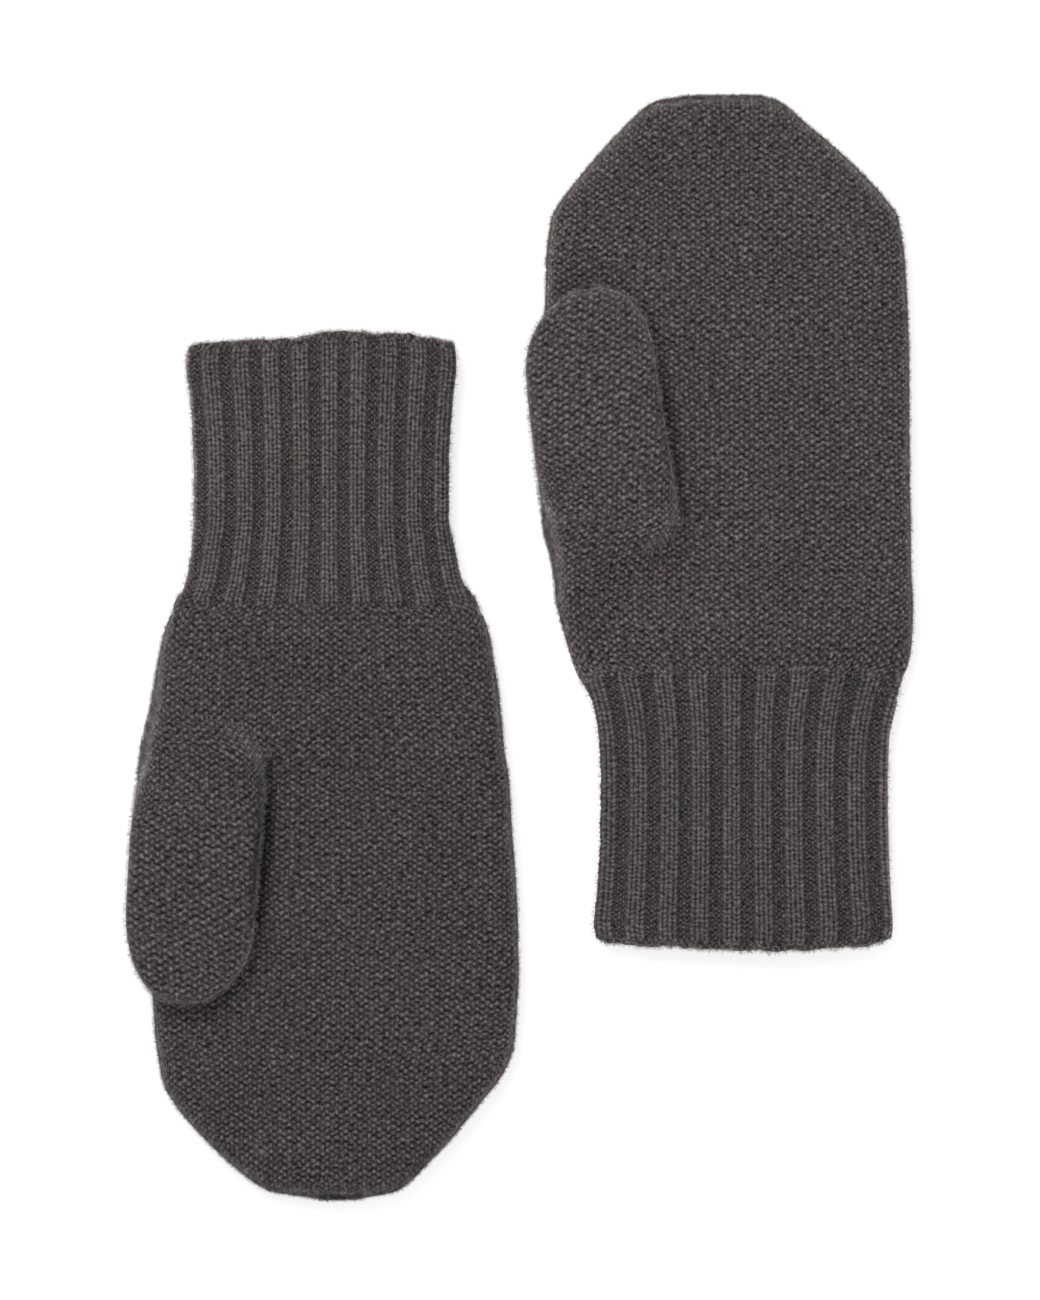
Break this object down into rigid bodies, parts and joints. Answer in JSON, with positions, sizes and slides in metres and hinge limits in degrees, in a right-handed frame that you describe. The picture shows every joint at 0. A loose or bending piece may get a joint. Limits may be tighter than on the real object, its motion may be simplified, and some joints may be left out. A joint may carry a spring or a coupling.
{
  "type": "pair of knitted mittens",
  "caption": "Pair of plain knitted wool mittens with ribbed cuffs and folded-over thumbs, lying flat with the palms up.",
  "frame": {"origin": "centre of the pair's bounding box, on the surface that the mittens lie on", "axes": "+Y along the mittens, towards the left mitten's fingertips; +X to the right across them, palm sides facing +Z"},
  "size_m": [0.2458, 0.348, 0.0244],
  "materials": {
    "knitted_wool": "reverse stockinette in a soft, slightly felted woollen yarn, matt with a short nap",
    "ribbed_wool": "two-by-two rib in the same yarn, firmer and smoother than the hand",
    "linking_yarn": "plain twisted woollen yarn, matt"
  },
  "bodies": {
    "left_palm": {"left_palm_panel": "knitted_wool", "left_back_panel": "knitted_wool", "left_index_side_seam": "linking_yarn", "left_little_side_seam": "linking_yarn", "left_crotch_stitch": "linking_yarn"},
    "left_cuff": {"left_cuff": "ribbed_wool", "left_cuff_seam": "linking_yarn", "left_cast_on_edge": "ribbed_wool", "left_yarn_tail": "linking_yarn"},
    "left_fingers": {"left_finger_front_panel": "knitted_wool", "left_finger_back_panel": "knitted_wool", "left_fingertip_seam": "linking_yarn"},
    "left_thumb": {"left_thumb": "knitted_wool", "left_thumb_seam": "linking_yarn", "left_thumb_tip_closure": "linking_yarn"},
    "right_palm": {"right_palm_panel": "knitted_wool", "right_back_panel": "knitted_wool", "right_index_side_seam": "linking_yarn", "right_little_side_seam": "linking_yarn", "right_crotch_stitch": "linking_yarn"},
    "right_cuff": {"right_cuff": "ribbed_wool", "right_cuff_seam": "linking_yarn", "right_cast_on_edge": "ribbed_wool", "right_yarn_tail": "linking_yarn"},
    "right_fingers": {"right_finger_front_panel": "knitted_wool", "right_finger_back_panel": "knitted_wool", "right_fingertip_seam": "linking_yarn"},
    "right_thumb": {"right_thumb": "knitted_wool", "right_thumb_seam": "linking_yarn", "right_thumb_tip_closure": "linking_yarn"}
  },
  "joints": [
    {"name": "left_cuff_fold", "type": "hinge", "parent": "left_palm", "child": "left_cuff", "pos_m": [0.06896, -0.0105, 0.0136], "axis": [-1, 0, 0], "range_deg": [0, 90]},
    {"name": "left_finger_fold", "type": "hinge", "parent": "left_palm", "child": "left_fingers", "pos_m": [0.06356, 0.119, 0.014], "axis": [1, 0, 0], "range_deg": [0, 75]},
    {"name": "left_thumb_lift", "type": "hinge", "parent": "left_palm", "child": "left_thumb", "pos_m": [0.02696, 0.039, 0.0244], "axis": [1, 0, 0], "range_deg": [0, 60]},
    {"name": "mittens_apart", "type": "slide", "parent": "left_palm", "child": "right_palm", "axis": [-1, 0, 0], "range_m": [0, 0.15]},
    {"name": "right_cuff_fold", "type": "hinge", "parent": "right_palm", "child": "right_cuff", "pos_m": [-0.06288, 0.0105, 0.0136], "axis": [1, 0, 0], "range_deg": [0, 90]},
    {"name": "right_finger_fold", "type": "hinge", "parent": "right_palm", "child": "right_fingers", "pos_m": [-0.05898, -0.119, 0.014], "axis": [-1, 0, 0], "range_deg": [0, 75]},
    {"name": "right_thumb_lift", "type": "hinge", "parent": "right_palm", "child": "right_thumb", "pos_m": [-0.10138, -0.039, 0.0244], "axis": [-1, 0, 0], "range_deg": [0, 60]}
  ]
}
